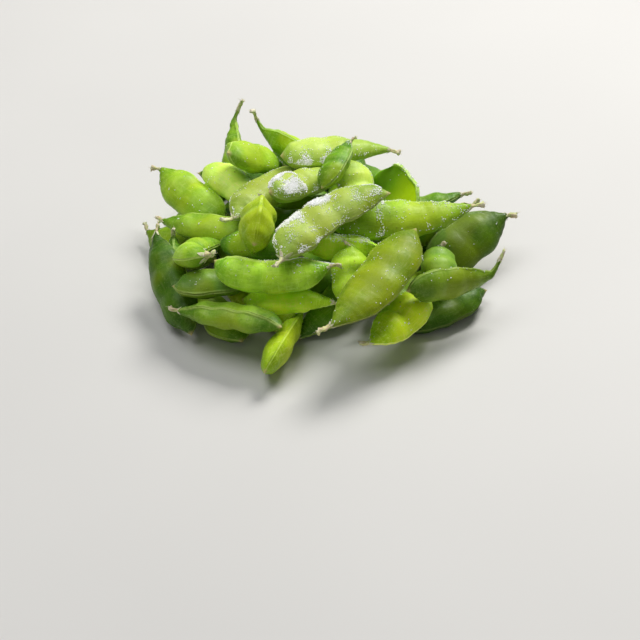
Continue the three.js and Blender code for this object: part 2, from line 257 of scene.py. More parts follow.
class Skin:
    # a pod's fine surface: points and normals as (along, around, xyz), and where each lies on the pod
    def __init__(self, node, shown, look):
        rings, stalk, beak = ringsOf(frame["nodes"][node])
        seed = sum(ord(letter) * (i + 7) for i, letter in enumerate(node))
        self.seed, self.shown = seed, shown
        centres = np.vstack([stalk, rings.mean(1), beak])
        knots = np.concatenate([[0], np.cumsum(np.linalg.norm(np.diff(centres, axis=0), axis=1))])
        self.length = knots[-1]
        blunt = stalk + skinShape["stalkBlunt"] * (rings[0] - rings[0].mean(0))  # broken off, not pointed
        point = beak + skinShape["beakBlunt"] * (rings[-1] - rings[-1].mean(0))
        columns = np.concatenate([[blunt], rings, [point]])
        step = skinShape["alongStep"] if shown else skinShape["hiddenStep"]
        s = np.linspace(0, self.length, int(self.length / step))
        if shown:
            p = aroundSamples(seamOffsets, skinShape["roundSteps"])
        else:
            p = aroundSamples(hiddenOffsets, skinShape["hiddenRoundSteps"])
        along = naturalCurve(knots, columns.reshape(len(columns), -1), s).reshape(len(s), packed["sides"], 3)
        columns = along.transpose(1, 0, 2).reshape(packed["sides"], -1)
        rows = roundCurve(columns, p + look.get("seamTurn", 0.0))
        self.points = rows.reshape(len(p), len(s), 3).transpose(1, 0, 2)
        self.s, self.p = s, p
        self.t = s / self.length
        self.centres = self.points.mean(1)
        self.measure()
        self.relief(look)

    def measure(self):
        points = self.points
        ahead = np.gradient(points, axis=0)
        across = np.roll(points, -1, 1) - np.roll(points, 1, 1)
        normals = np.cross(across, ahead)
        normals /= np.linalg.norm(normals, axis=2, keepdims=True) + 1e-12
        out = points - self.centres[:, None]
        if (normals * out).sum() < 0:
            normals = -normals
        self.normals = normals
        arcs = np.linalg.norm(np.roll(points, -1, 1) - points, axis=2)
        walked = np.concatenate([np.zeros((len(points), 1)), np.cumsum(arcs, 1)], 1)
        total = walked[:, -1:]
        walked = walked[:, :-1]
        half = walked[:, len(self.p) // 2 : len(self.p) // 2 + 1]
        first = np.minimum(walked, total - walked)
        self.seamGap = np.minimum(first, np.abs(walked - half))
        self.girth = total[:, 0]
        angle = 2 * math.pi * self.p / packed["sides"]
        reach = np.linalg.norm(out, axis=2).mean(1)
        x = np.repeat(self.s[:, None], len(self.p), 1)
        # the pod laid out straight, so patterns follow it round its bends
        self.straight = np.dstack([x, reach[:, None] * np.cos(angle), reach[:, None] * np.sin(angle)])
        quarter = len(self.p) // 4
        thick = np.linalg.norm(points[:, quarter] - points[:, quarter + len(self.p) // 2], axis=1)
        waist = skinShape["waist"]
        self.bean = np.clip((thick / thick.max() - waist) / (1 - waist), 0, 1)

    def relief(self, look):
        # seams, lumps and creases stand out of the smooth form
        t = self.t[:, None]
        body = smoothStep(*skinShape["bodyFrom"], t) * (1 - smoothStep(*skinShape["bodyTo"], t))
        gap = self.seamGap
        ridge = np.exp(-(((gap - skinShape["seamHalf"]) / skinShape["seamWidth"]) ** 2))
        groove = np.exp(-((gap / skinShape["grooveWidth"]) ** 2))
        waver = 1 + skinShape["waver"] * Ripple(self.seed + 1, skinShape["waverSize"])(self.straight)
        seam = look.get("seam", 1.0)
        out = body * seam * waver * (skinShape["seamRidge"] * ridge - skinShape["seamGroove"] * groove)
        full = (self.girth / self.girth.max())[:, None] ** 2
        out = out + body * full * look.get("keel", 0.0) * np.exp(-gap / skinShape["keelWidth"])
        lumps = Ripple(self.seed + 2, skinShape["lumpSize"])(self.straight)
        out = out + body * skinShape["lumps"] * look.get("lumps", 1.0) * lumps
        creased = self.straight * np.array(skinShape["creaseStretch"])
        creases = Ripple(self.seed + 3, skinShape["creaseSize"])(creased)
        valley = (1 - self.bean)[:, None]
        out = out + body * skinShape["creases"] * valley * creases
        before, after = skinShape["stalkFade"]
        stalk = 1 - smoothStep(skinShape["stalkEnd"] - before, skinShape["stalkEnd"] + after, t)
        knobs = Ripple(self.seed + 4, skinShape["knobSize"])(self.straight)
        rise, uneven = skinShape["breakRise"]
        broken = np.exp(-((self.s[:, None] / skinShape["breakReach"]) ** 2))
        broken = broken * (rise + uneven * np.roll(knobs, skinShape["breakTurn"], 1))
        out = out + stalk * (skinShape["knobs"] * knobs + broken - skinShape["stalkThin"])
        self.points = above(self.points + out[..., None] * self.normals)
        self.stub = np.repeat(stalk, len(self.p), 1)
        # painted shade: the wall nearer to the line between the seams gets a dark face
        half = len(self.p) // 2
        middle = (self.points[:, 0] + self.points[:, half]) / 2
        depth = np.linalg.norm(self.points - middle[:, None], axis=2).sum(0)
        sunk = (np.arange(len(self.p)) < half) == (depth[half // 2] < depth[half + half // 2])
        self.inner = body * smoothStep(*skinShape["shadeEdge"], gap) * (sunk if look.get("shadedFace") else 0.0)

    def at(self, t, p):
        # point and normal at shares along and places around
        row = np.clip(np.asarray(t) * (len(self.s) - 1), 0, len(self.s) - 1.001)
        sides = packed["sides"]
        column = np.interp(np.asarray(p) % sides, np.append(self.p, sides), np.arange(len(self.p) + 1))
        i, j = row.astype(int), column.astype(int) % len(self.p)
        k = (j + 1) % len(self.p)
        a, b = (row - i)[:, None], (column - column.astype(int))[:, None]

        def blend(grid):
            return (grid[i, j] * (1 - b) + grid[i, k] * b) * (1 - a) + (
                grid[i + 1, j] * (1 - b) + grid[i + 1, k] * b
            ) * a

        return blend(self.points), blend(self.normals)


# meshes
def meshObject(name, points, faces, values=None, smooth=True):
    # points in mm, values as one float or three per point
    mesh = bpy.data.meshes.new(name)
    mesh.from_pydata((np.asarray(points) * mm).tolist(), [], faces)
    for key, data in (values or {}).items():
        data = np.asarray(data, dtype=np.float32)
        kind = "FLOAT" if data.ndim == 1 else "FLOAT_VECTOR"
        layer = mesh.attributes.new(key, kind, "POINT")
        layer.data.foreach_set("value" if data.ndim == 1 else "vector", data.ravel())
    if smooth:
        mesh.shade_smooth()
    obj = bpy.data.objects.new(name, mesh)
    bpy.context.scene.collection.objects.link(obj)
    return obj


class Parts:
    # points, faces and values of a piece while it is put together
    def __init__(self, keys):
        self.points, self.faces, self.count = [], [], 0
        self.values = {key: [] for key in keys}

    def add(self, points, faces, **values):
        self.points.append(points)
        self.faces += [tuple(c + self.count for c in face) for face in faces]
        for key, store in self.values.items():
            data = np.asarray(values.get(key, 0.0), dtype=float)
            shape = (len(points), 3) if key == "straight" else (len(points),)
            store.append(np.broadcast_to(data, shape))
        self.count += len(points)

    def build(self, name):
        values = {key: np.concatenate(store) for key, store in self.values.items()}
        return meshObject(name, np.concatenate(self.points), self.faces, values)


def gridFaces(rows, columns):
    # closed round, open at both ends
    faces = []
    for i in range(rows - 1):
        for j in range(columns):
            k = (j + 1) % columns
            faces.append((i * columns + j, i * columns + k, (i + 1) * columns + k, (i + 1) * columns + j))
    return faces


def addSkin(parts, name, skin, look):
    rows, columns = len(skin.s), len(skin.p)
    stalk, inward, short, beak = (skin.points[k].mean(0) for k in (0, 1, -3, -1))
    heart = stalk + skinShape["stalkHollow"] * (inward - stalk)
    end = beak + skinShape["beakReach"] * (beak - short)
    points = above(np.vstack([skin.points.reshape(-1, 3), heart, end]))
    faces = gridFaces(rows, columns)
    last = rows * columns
    for j in range(columns):
        k = (j + 1) % columns
        faces.append((k, j, last))
        faces.append(((rows - 1) * columns + j, (rows - 1) * columns + k, last + 1))
    straight = np.vstack([skin.straight.reshape(-1, 3), [0, 0, 0], [skin.length, 0, 0]])
    seam = look.get("seamPale", 1.0) * np.exp(-((skin.seamGap / look.get("seamWide", 0.55)) ** 2))
    t = np.repeat(skin.t[:, None], columns, 1)
    bean = np.repeat(skin.bean[:, None], columns, 1)

    def column(grid, atStalk, atBeak):
        return np.concatenate([grid.ravel(), [atStalk, atBeak]])

    parts.add(
        points,
        faces,
        straight=straight,
        seam=column(seam, 0, 0),
        stub=column(skin.stub, 1, 0),
        along=column(t, 0, 1),
        bean=column(bean, 0, 0),
        dry=look.get("dry", 0.4),
        inner=column(skin.inner, 0, 0),
        frost=column(frostOn(name, skin), 0, 0),
    )


# the calyx, a cup of small dry lobes that hug the pod behind its stalk, and the stalk's frayed end
calyx = {
    "lobes": 5,
    "grid": (9, 7),  # points along and across a lobe
    "start": 0.085,  # share of the pod's length
    "scatter": 0.35,  # how unevenly the lobes stand round the pod
    "reach": (1.6, 3.0),  # mm, at a size of 1
    "width": 0.8,  # half width, in steps from corner to corner
    "tipWidth": 0.04,
    "thick": 0.1,
    "gap": 0.08,
    "lift": (0.0, 0.7),  # how far a lobe's tip stands off, in mm
    "bend": (-0.5, 0.5),
    "curl": (0.3, 1.0),
    "cup": 0.18,
}
fibre = {
    "count": 5,
    "steps": 4,
    "reach": (0.5, 1.5),
    "width": (0.08, 0.2),
    "sunk": 0.3,
    "lean": 0.45,
    "sag": 0.35,
}


def addCalyx(parts, skin, look):
    draw = np.random.default_rng(skin.seed + 11)
    size = look.get("calyx", 0.6)
    rows, columns = calyx["grid"]
    down, across = np.linspace(0, 1, rows), np.linspace(-1, 1, columns)
    for lobe in range(calyx["lobes"]):
        middle = packed["sides"] * (lobe + calyx["scatter"] * draw.uniform(-1, 1)) / calyx["lobes"]
        reach = draw.uniform(*calyx["reach"]) * size / skin.length
        lift = draw.uniform(*calyx["lift"]) * size
        bend = draw.uniform(*calyx["bend"])
        curl = draw.uniform(*calyx["curl"]) * size
        front = []
        for d in down:
            half = calyx["width"] * (1 - d**1.6) * (1 - 0.3 * d) + calyx["tipWidth"]
            t = np.full(len(across), calyx["start"] + reach * d)
            point, normal = skin.at(t, middle + bend * d + half * across)
            off = calyx["gap"] + lift * d**2 + calyx["cup"] * curl * d * across**2
            front.append(point + off[:, None] * normal)
        front = np.array(front).reshape(-1, 3)
        if front[:, 2].min() < 2 * calyx["thick"]:
            continue  # no room above the surface
        normal = skin.at(np.full(1, calyx["start"] + 0.02), np.full(1, middle))[1][0]
        back = front - calyx["thick"] * normal
        addSheet(parts, front, back, rows, columns, skin, draw)


def addSheet(parts, front, back, rows, columns, skin, draw):
    # a thin closed blade from two like grids
    size = rows * columns
    faces = []
    for i in range(rows - 1):
        for j in range(columns - 1):
            a, b = i * columns + j, i * columns + j + 1
            c, d = a + columns, b + columns
            faces.append((a, b, d, c))
            faces.append((a + size, c + size, d + size, b + size))
    edge = list(range(columns)) + [i * columns + columns - 1 for i in range(1, rows)]
    edge += [(rows - 1) * columns + j for j in range(columns - 2, -1, -1)]
    edge += [i * columns for i in range(rows - 2, 0, -1)]
    for a, b in zip(edge, edge[1:] + edge[:1]):
        faces.append((b, a, a + size, b + size))
    points = np.vstack([front, back])
    straight = points - skin.centres[0]
    parts.add(points, faces, straight=straight, stub=draw.uniform(0.5, 1.0), dry=draw.uniform(0.2, 0.9))


def addFibres(parts, skin, look):
    draw = np.random.default_rng(skin.seed + 23)
    end = skin.points[0]
    axis = skin.centres[0] - skin.centres[2]
    axis /= np.linalg.norm(axis)
    for _ in range(int(fibre["count"] * look.get("fray", 1.0))):
        root = end[draw.integers(len(end))] * 0.7 + end.mean(0) * 0.3 - fibre["sunk"] * axis
        reach = draw.uniform(*fibre["reach"]) * look.get("fray", 1.0)
        way = axis + draw.normal(size=3) * fibre["lean"]
        way /= np.linalg.norm(way)
        side = np.cross(way, draw.normal(size=3))
        side /= np.linalg.norm(side)
        other = np.cross(way, side)
        wide = draw.uniform(*fibre["width"])
        sag = draw.normal(size=3) * fibre["sag"]
        points, steps = [], fibre["steps"]
        for k in range(steps + 1):
            share = k / steps
            middle = root + way * reach * share + sag * share**2
            thin = wide * (1 - 0.8 * share)
            points += [middle + side * thin, middle - side * thin * 0.5 + other * thin * 0.6]
            points.append(middle - side * thin * 0.5 - other * thin * 0.6)
        if np.array(points)[:, 2].min() < skinShape["floorGap"]:
            continue
        faces = [(2, 1, 0), (3 * steps, 3 * steps + 1, 3 * steps + 2)]
        for k in range(steps):
            for j in range(3):
                a, b = 3 * k + j, 3 * k + (j + 1) % 3
                faces.append((a, b, b + 3, a + 3))
        parts.add(np.array(points), faces, straight=np.array(points) - root, stub=1.0, dry=1.0)


# node materials
class Nodes:
    def __init__(self, name):
        self.material = bpy.data.materials.new(name)
        self.material.use_nodes = True
        self.tree = self.material.node_tree
        self.tree.nodes.clear()
        self.shader = self.add("ShaderNodeBsdfPrincipled")
        output = self.add("ShaderNodeOutputMaterial")
        self.link(self.shader, "BSDF", output, "Surface")

    def add(self, kind, **settings):
        node = self.tree.nodes.new(kind)
        for key, value in settings.items():
            setattr(node, key, value)
        return node

    def link(self, source, out, target, into):
        self.tree.links.new(source.outputs[out], target.inputs[into])

    def feed(self, target, into, value):
        # value is a socket or a constant
        if hasattr(value, "is_linked"):
            self.tree.links.new(value, target.inputs[into])
        else:
            target.inputs[into].default_value = value

    def finish(self, sockets):
        # what is the same all over the surface
        for name, value in sockets.items():
            self.shader.inputs[name].default_value = value
        return self.material

    def attribute(self, name, out="Fac"):
        return self.add("ShaderNodeAttribute", attribute_name=name).outputs[out]

    def noise(self, vector, scale, detail=3.0, rough=0.55):
        node = self.add("ShaderNodeTexNoise")
        self.feed(node, "Vector", vector)
        node.inputs["Scale"].default_value = scale
        node.inputs["Detail"].default_value = detail
        node.inputs["Roughness"].default_value = rough
        return node.outputs["Fac"]

    def stretch(self, vector, scale):
        node = self.add("ShaderNodeVectorMath", operation="MULTIPLY")
        self.feed(node, 0, vector)
        node.inputs[1].default_value = scale
        return node.outputs["Vector"]

    def ramp(self, value, low, high, bottom=0.0, top=1.0):
        node = self.add("ShaderNodeMapRange", interpolation_type="SMOOTHSTEP")
        self.feed(node, "Value", value)
        node.inputs["From Min"].default_value = low
        node.inputs["From Max"].default_value = high
        node.inputs["To Min"].default_value = bottom
        node.inputs["To Max"].default_value = top
        return node.outputs["Result"]

    def math(self, operation, a, b=0.0):
        node = self.add("ShaderNodeMath", operation=operation)
        self.feed(node, 0, a)
        self.feed(node, 1, b)
        return node.outputs["Value"]

    def scaled(self, colour, gain):
        node = self.add("ShaderNodeVectorMath", operation="SCALE")
        self.feed(node, 0, colour)
        self.feed(node, "Scale", gain)
        return node.outputs["Vector"]

    def mix(self, factor, a, b):
        node = self.add("ShaderNodeMix", data_type="RGBA")
        self.feed(node, "Factor", factor)
        self.feed(node, "A", a if hasattr(a, "is_linked") else (*a, 1.0))
        self.feed(node, "B", b if hasattr(b, "is_linked") else (*b, 1.0))
        return node.outputs["Result"]

    def bump(self, height, strength, distance):
        node = self.add("ShaderNodeBump")
        self.feed(node, "Height", height)
        node.inputs["Strength"].default_value = strength
        node.inputs["Distance"].default_value = distance
        return node.outputs["Normal"]


# skin tones: low is painted shade in the waist between two beans, high is painted light over a bean, and seam
# is the pale seam line
tones = {
    "pod_fresh": {"low": (0.10, 0.26, 0.003), "high": (0.34, 0.57, 0.03), "seam": (0.50, 0.66, 0.15)},
    "pod_pale": {"low": (0.27, 0.45, 0.03), "high": (0.56, 0.72, 0.13), "seam": (0.68, 0.78, 0.28)},
    "pod_olive": {"low": (0.17, 0.33, 0.003), "high": (0.41, 0.58, 0.012), "seam": (0.66, 0.72, 0.22)},
    "pod_deep": {"low": (0.045, 0.16, 0.003), "high": (0.17, 0.38, 0.008), "seam": (0.38, 0.53, 0.13)},
}
yellowed = (0.45, 0.53, 0.008)
cooled = (0.17, 0.40, 0.08)
speckled = (0.15, 0.12, 0.02)
faceShadeTones = {"deep": (0.08, 0.19, 0.002), "lit": (0.42, 0.56, 0.003)}  # painted shade on one wall of a pod: a dark face, lighter near the stalk
stubTones = {"brown": (0.30, 0.16, 0.05), "tan": (0.60, 0.46, 0.22), "pale": (0.84, 0.78, 0.58)}

# sizes are in turns per mm along the pod; the shares say how strongly a marking shows
skinLook = {
    "mottleSize": 0.75,
    "broadSize": 0.10,
    "patchSize": 0.06,
    "patchShare": 0.35,
    "fleckSize": 2.6,
    "speckSize": 0.16,
    "speckShare": 0.5,
    "veinSize": (0.24, 0.42, 0.42),
    "pitSize": 3.4,
    "faceShadeShare": 0.85,
    "paintedLightShare": 0.6,
    "rime": (0.86, 0.90, 0.88),
    "rimeGrain": 2.1,
    "roughness": (0.38, 0.54),
    "bump": 0.4,
    "bumpDepth": 0.0001,  # metres
}
skinFinish = {
    "Specular IOR Level": 0.18,
    "Subsurface Weight": 0.10,
    "Subsurface Radius": (0.8, 1.0, 0.15),
    "Subsurface Scale": 0.0015,
    "Sheen Weight": 0.02,
    "Sheen Roughness": 0.4,
    "Sheen Tint": (0.80, 0.95, 0.62, 1.0),
    "Coat Weight": 0.03,
    "Coat Roughness": 0.3,
}


def skinColour(n, tone, place, mottle, fibres):
    # the green: swells lighter than waists as painted light and shade, soft blotches, fibres, seams and a few
    # brown specks
    seam, toneAndPaintedLight, yellow = n.attribute("seam"), n.attribute("toneAndPaintedLight"), n.attribute("yellow")
    broad = n.noise(place, skinLook["broadSize"], 2.0)
    swell = n.math("MULTIPLY", n.attribute("bean"), 0.5)
    swell = n.math("ADD", swell, n.ramp(broad, 0.3, 0.7, 0.0, 0.5))
    # painted light and shade: the swell over each bean lighter, the waist between beans darker
    base = n.mix(n.ramp(swell, 0.0, 1.0), tone["low"], tone["high"])
    base = n.mix(n.ramp(mottle, 0.45, 0.75, 0.0, 0.4), base, tone["low"])
    base = n.mix(n.ramp(fibres, 0.5, 0.76, 0.0, 0.36), base, tone["seam"])
    ribs = n.noise(n.stretch(place, (2.2, 0.3, 0.3)), 0.8, 3.0, 0.6)
    base = n.mix(n.ramp(ribs, 0.52, 0.75, 0.0, 0.3), base, tone["seam"])
    flecks = n.noise(place, skinLook["fleckSize"], 2.0, 0.7)
    base = n.mix(n.ramp(flecks, 0.6, 0.74, 0.0, 0.5), base, tone["seam"])
    base = n.mix(n.ramp(yellow, 0.0, 1.0), base, yellowed)
    base = n.mix(n.ramp(yellow, 0.0, -1.0), base, cooled)
    patch = n.ramp(n.noise(place, skinLook["patchSize"], 1.0), 0.52, 0.66)
    patch = n.math("MULTIPLY", patch, skinLook["patchShare"])
    base = n.mix(patch, base, yellowed)
    seamMix = n.math("MULTIPLY", n.ramp(seam, 0.35, 0.95), n.ramp(mottle, 0.3, 0.6, 0.4, 0.8))
    base = n.mix(seamMix, base, tone["seam"])
    cells = n.add("ShaderNodeTexVoronoi")
    n.feed(cells, "Vector", place)
    cells.inputs["Scale"].default_value = skinLook["speckSize"]
    spot = n.math("MULTIPLY", n.ramp(cells.outputs["Distance"], 0.09, 0.04), n.ramp(mottle, 0.5, 0.6))
    base = n.mix(n.math("MULTIPLY", spot, skinLook["speckShare"]), base, speckled)
    # painted shade: the dark face, lighter near the stalk and darkest towards the beak
    depth = n.ramp(n.attribute("along"), 0.3, 0.8)
    inner = n.mix(depth, faceShadeTones["lit"], faceShadeTones["deep"])
    base = n.mix(n.math("MULTIPLY", n.attribute("inner"), skinLook["faceShadeShare"]), base, inner)
    # painted light and shade: each pod's colour scaled up or down for how lit it stands
    base = n.scaled(base, n.math("ADD", n.math("MULTIPLY", toneAndPaintedLight, skinLook["paintedLightShare"]), 1.0))
    return n.mix(n.ramp(n.attribute("along"), 0.965, 0.998, 0.0, 0.75), base, stubTones["tan"])


def stubColour(n, tone, place):
    # the dry end: brown in its cracks, tan and whitish on its ridges, still green in spots
    grain = n.noise(n.stretch(place, (0.5, 2.2, 2.2)), 1.3, 3.0)
    colour = n.mix(n.ramp(grain, 0.34, 0.52), stubTones["brown"], stubTones["tan"])
    pale = n.math("ADD", n.math("MULTIPLY", n.attribute("dry"), 0.7), n.ramp(grain, 0.45, 0.7, 0.0, 0.6))
    pale = n.math("ADD", pale, n.ramp(n.attribute("along"), 0.035, 0.0, 0.0, 0.5))
    colour = n.mix(pale, colour, stubTones["pale"])
    return n.mix(n.ramp(n.noise(place, 0.55, 2.0), 0.5, 0.62, 0.0, 0.6), colour, tone["seam"])


def makeSkinMaterial(name, tone):
    n = Nodes(name)
    place = n.attribute("straight", "Vector")
    mottle = n.noise(place, skinLook["mottleSize"], 4.0, 0.6)
    fibres = n.noise(n.stretch(place, (0.22, 1.5, 1.5)), 1.0, 3.0)
    stub = n.ramp(n.attribute("stub"), 0.25, 0.8)
    base = n.mix(stub, skinColour(n, tone, place, mottle, fibres), stubColour(n, tone, place))
    grains = n.ramp(n.noise(place, skinLook["rimeGrain"], 3.0, 0.75), 0.3, 0.7, -0.45, 0.45)
    frost = n.attribute("frost")
    rime = n.math("MULTIPLY", frost, n.ramp(n.math("ADD", frost, grains), 0.3, 0.9))
    base = n.mix(rime, base, skinLook["rime"])
    n.feed(n.shader, "Base Color", base)
    n.feed(n.shader, "Roughness", n.ramp(mottle, 0.35, 0.7, *skinLook["roughness"]))
    veins = n.add("ShaderNodeTexVoronoi", feature="DISTANCE_TO_EDGE")
    n.feed(veins, "Vector", n.stretch(place, skinLook["veinSize"]))
    veins.inputs["Scale"].default_value = 1.0
    veinLine = n.ramp(veins.outputs["Distance"], 0.0, 0.07, 1.0, 0.0)
    pits = n.noise(place, skinLook["pitSize"], 3.0, 0.65)
    height = n.math("ADD", n.math("MULTIPLY", veinLine, 0.5), pits)
    height = n.math("ADD", height, n.math("MULTIPLY", fibres, 0.8))
    n.feed(n.shader, "Normal", n.bump(height, skinLook["bump"], skinLook["bumpDepth"]))
    return n.finish(skinFinish)


skinMaterials = {slot: makeSkinMaterial(slot, tone) for slot, tone in tones.items()}
print("skin materials made")


# salt: crystals in patches on single pods, and loose grains over the rest
saltMix = {
    "fine": (0.055, 0.15),  # half size of a crystal in mm, in the thick patches
    "loose": (0.06, 0.16),
    "sunk": 0.35,  # share of it in the skin
    "clump": 6.5,  # mm from one clump to the next
    "patchy": 0.9,  # how far single grains stray from the clumps
    "keepOver": 0.6,
    "tries": 4,  # places tried for each grain
    "stray": 0.18,
    "heap": 0.35,
    "frostFrom": 0.25,  # patches that pile up at least this high whiten the skin under them
    "frostShare": (0.45, 0.55),  # between clumps, and what a clump adds
    "frostMost": 0.75,
    "frostEdge": (0.04, 0.15),  # over which it fades, along and across
    "colours": ((0.92, 0.94, 0.94), (0.98, 0.98, 0.97)),
    "seed": 77,
}
saltFinish = {
    "Emission Color": (1.0, 1.0, 1.0, 1.0),
    "Emission Strength": 0.08,  # painted light: a faint glow that whitens the salt, standing in for light passed from grain to grain
    "Subsurface Weight": 0.6,
    "Subsurface Radius": (1.0, 1.0, 1.0),
    "Subsurface Scale": 0.0005,
}
# pod, along from and to, across from and to (-1 is the far side, 0 the top, 1 the near side), grains,
# and how high they pile up
saltPatches = [
    ("salty_small", 0.66, 0.97, -0.75, 0.55, 4200, 0.6),
    ("salty_small", 0.4, 0.97, -0.9, 0.8, 500, 0.1),
    ("salty_star", 0.28, 0.64, -1.1, 0.0, 8000, 0.8),
    ("salty_star", 0.55, 0.95, -0.9, 0.3, 1100, 0.15),
    ("salty_star", 0.12, 0.45, -0.5, 0.8, 600, 0.15),
    ("salty_star", 0.1, 0.95, -0.9, 0.9, 400, 0.1),
    ("right_big", 0.12, 0.9, -0.9, -0.45, 700, 0.2),
    ("right_big", 0.62, 0.67, -0.8, 0.9, 240, 0.2),
    ("right_big", 0.1, 0.95, -0.4, 0.9, 260, 0.0),
    ("right_big", 0.84, 0.96, -0.9, 0.1, 420, 0.35),
    ("long_s", 0.05, 0.6, -0.7, -0.25, 520, 0.2),
    ("long_s", 0.1, 0.9, -0.3, 0.6, 60, 0.0),
    ("back_pale", 0.6, 0.95, 0.2, 1.0, 700, 0.3),
    ("back_pale", 0.2, 0.9, -0.5, 0.8, 120, 0.0),
    ("boat", 0.02, 0.9, -1.0, -0.3, 900, 0.4),
    ("boat", 0.1, 0.9, -0.5, 0.8, 60, 0.0),
    ("pale_long", 0.1, 0.9, -0.8, 0.6, 260, 0.0),
    ("front_big", 0.1, 0.9, -0.7, 0.6, 110, 0.0),
    ("centre_small", 0.1, 0.9, -0.9, 0.6, 420, 0.35),
    ("centre_stub", 0.1, 0.9, -0.9, 0.8, 60, 0.3),
    ("left_up", 0.1, 0.9, -0.8, 0.6, 40, 0.0),
    ("left_round", 0.1, 0.9, -0.8, 0.6, 50, 0.0),
    ("back_left_wide", 0.1, 0.9, -0.8, 0.6, 40, 0.0),
    ("back_tip", 0.3, 0.9, -0.8, 0.8, 300, 0.1),
    ("back_thin", 0.1, 0.9, -0.8, 0.8, 40, 0.0),
    ("shadow_mid", 0.1, 0.9, -0.8, 0.6, 200, 0.1),
    ("mid_dark", 0.1, 0.9, -0.8, 0.6, 120, 0.1),
    ("mid_left", 0.1, 0.9, -0.8, 0.6, 40, 0.0),
    ("front_mid", 0.1, 0.9, -0.8, 0.6, 20, 0.0),
    ("right_hook", 0.1, 0.9, -0.8, 0.6, 30, 0.0),
    ("right_wide", 0.1, 0.9, -0.8, 0.6, 25, 0.0),
    ("right_under", 0.1, 0.9, -0.8, 0.6, 40, 0.0),
    ("right_blunt", 0.1, 0.9, -0.8, 0.6, 20, 0.0),
    ("left_tip", 0.1, 0.9, -0.8, 0.6, 30, 0.0),
    ("left_far_top", 0.1, 0.9, -0.8, 0.6, 20, 0.0),
    ("curled", 0.1, 0.9, -0.8, 0.6, 20, 0.0),
    ("front_right_tip", 0.1, 0.9, -0.8, 0.6, 40, 0.0),
]


def acrossOf(normals):
    # -1 where the skin faces the far side, 0 at the top, 1 at the near side
    return np.arctan2(-normals[..., 1], normals[..., 2]) / (math.pi / 2)


def frostOn(name, skin):
    # how white fine salt makes the skin, from 0 to 1
    frost = np.zeros(skin.seamGap.shape)
    clump = smoothStep(-0.6, 1.2, Ripple(skin.seed + 41, saltMix["clump"])(skin.points))
    across, t = acrossOf(skin.normals), skin.t[:, None]
    (along, sideways), (base, more) = saltMix["frostEdge"], saltMix["frostShare"]
    for pod, t0, t1, a0, a1, _, pile in saltPatches:
        if pod != name or pile < saltMix["frostFrom"]:
            continue
        inside = 1.0
        for low, high, x, edge in ((t0, t1, t, along), (a0, a1, across, sideways)):
            inside = inside * smoothStep(low - edge, low + edge, x)
            inside = inside * (1 - smoothStep(high - edge, high + edge, x))
        frost = np.maximum(frost, inside * (base + more * clump) * min(saltMix["frostMost"], pile))
    return frost
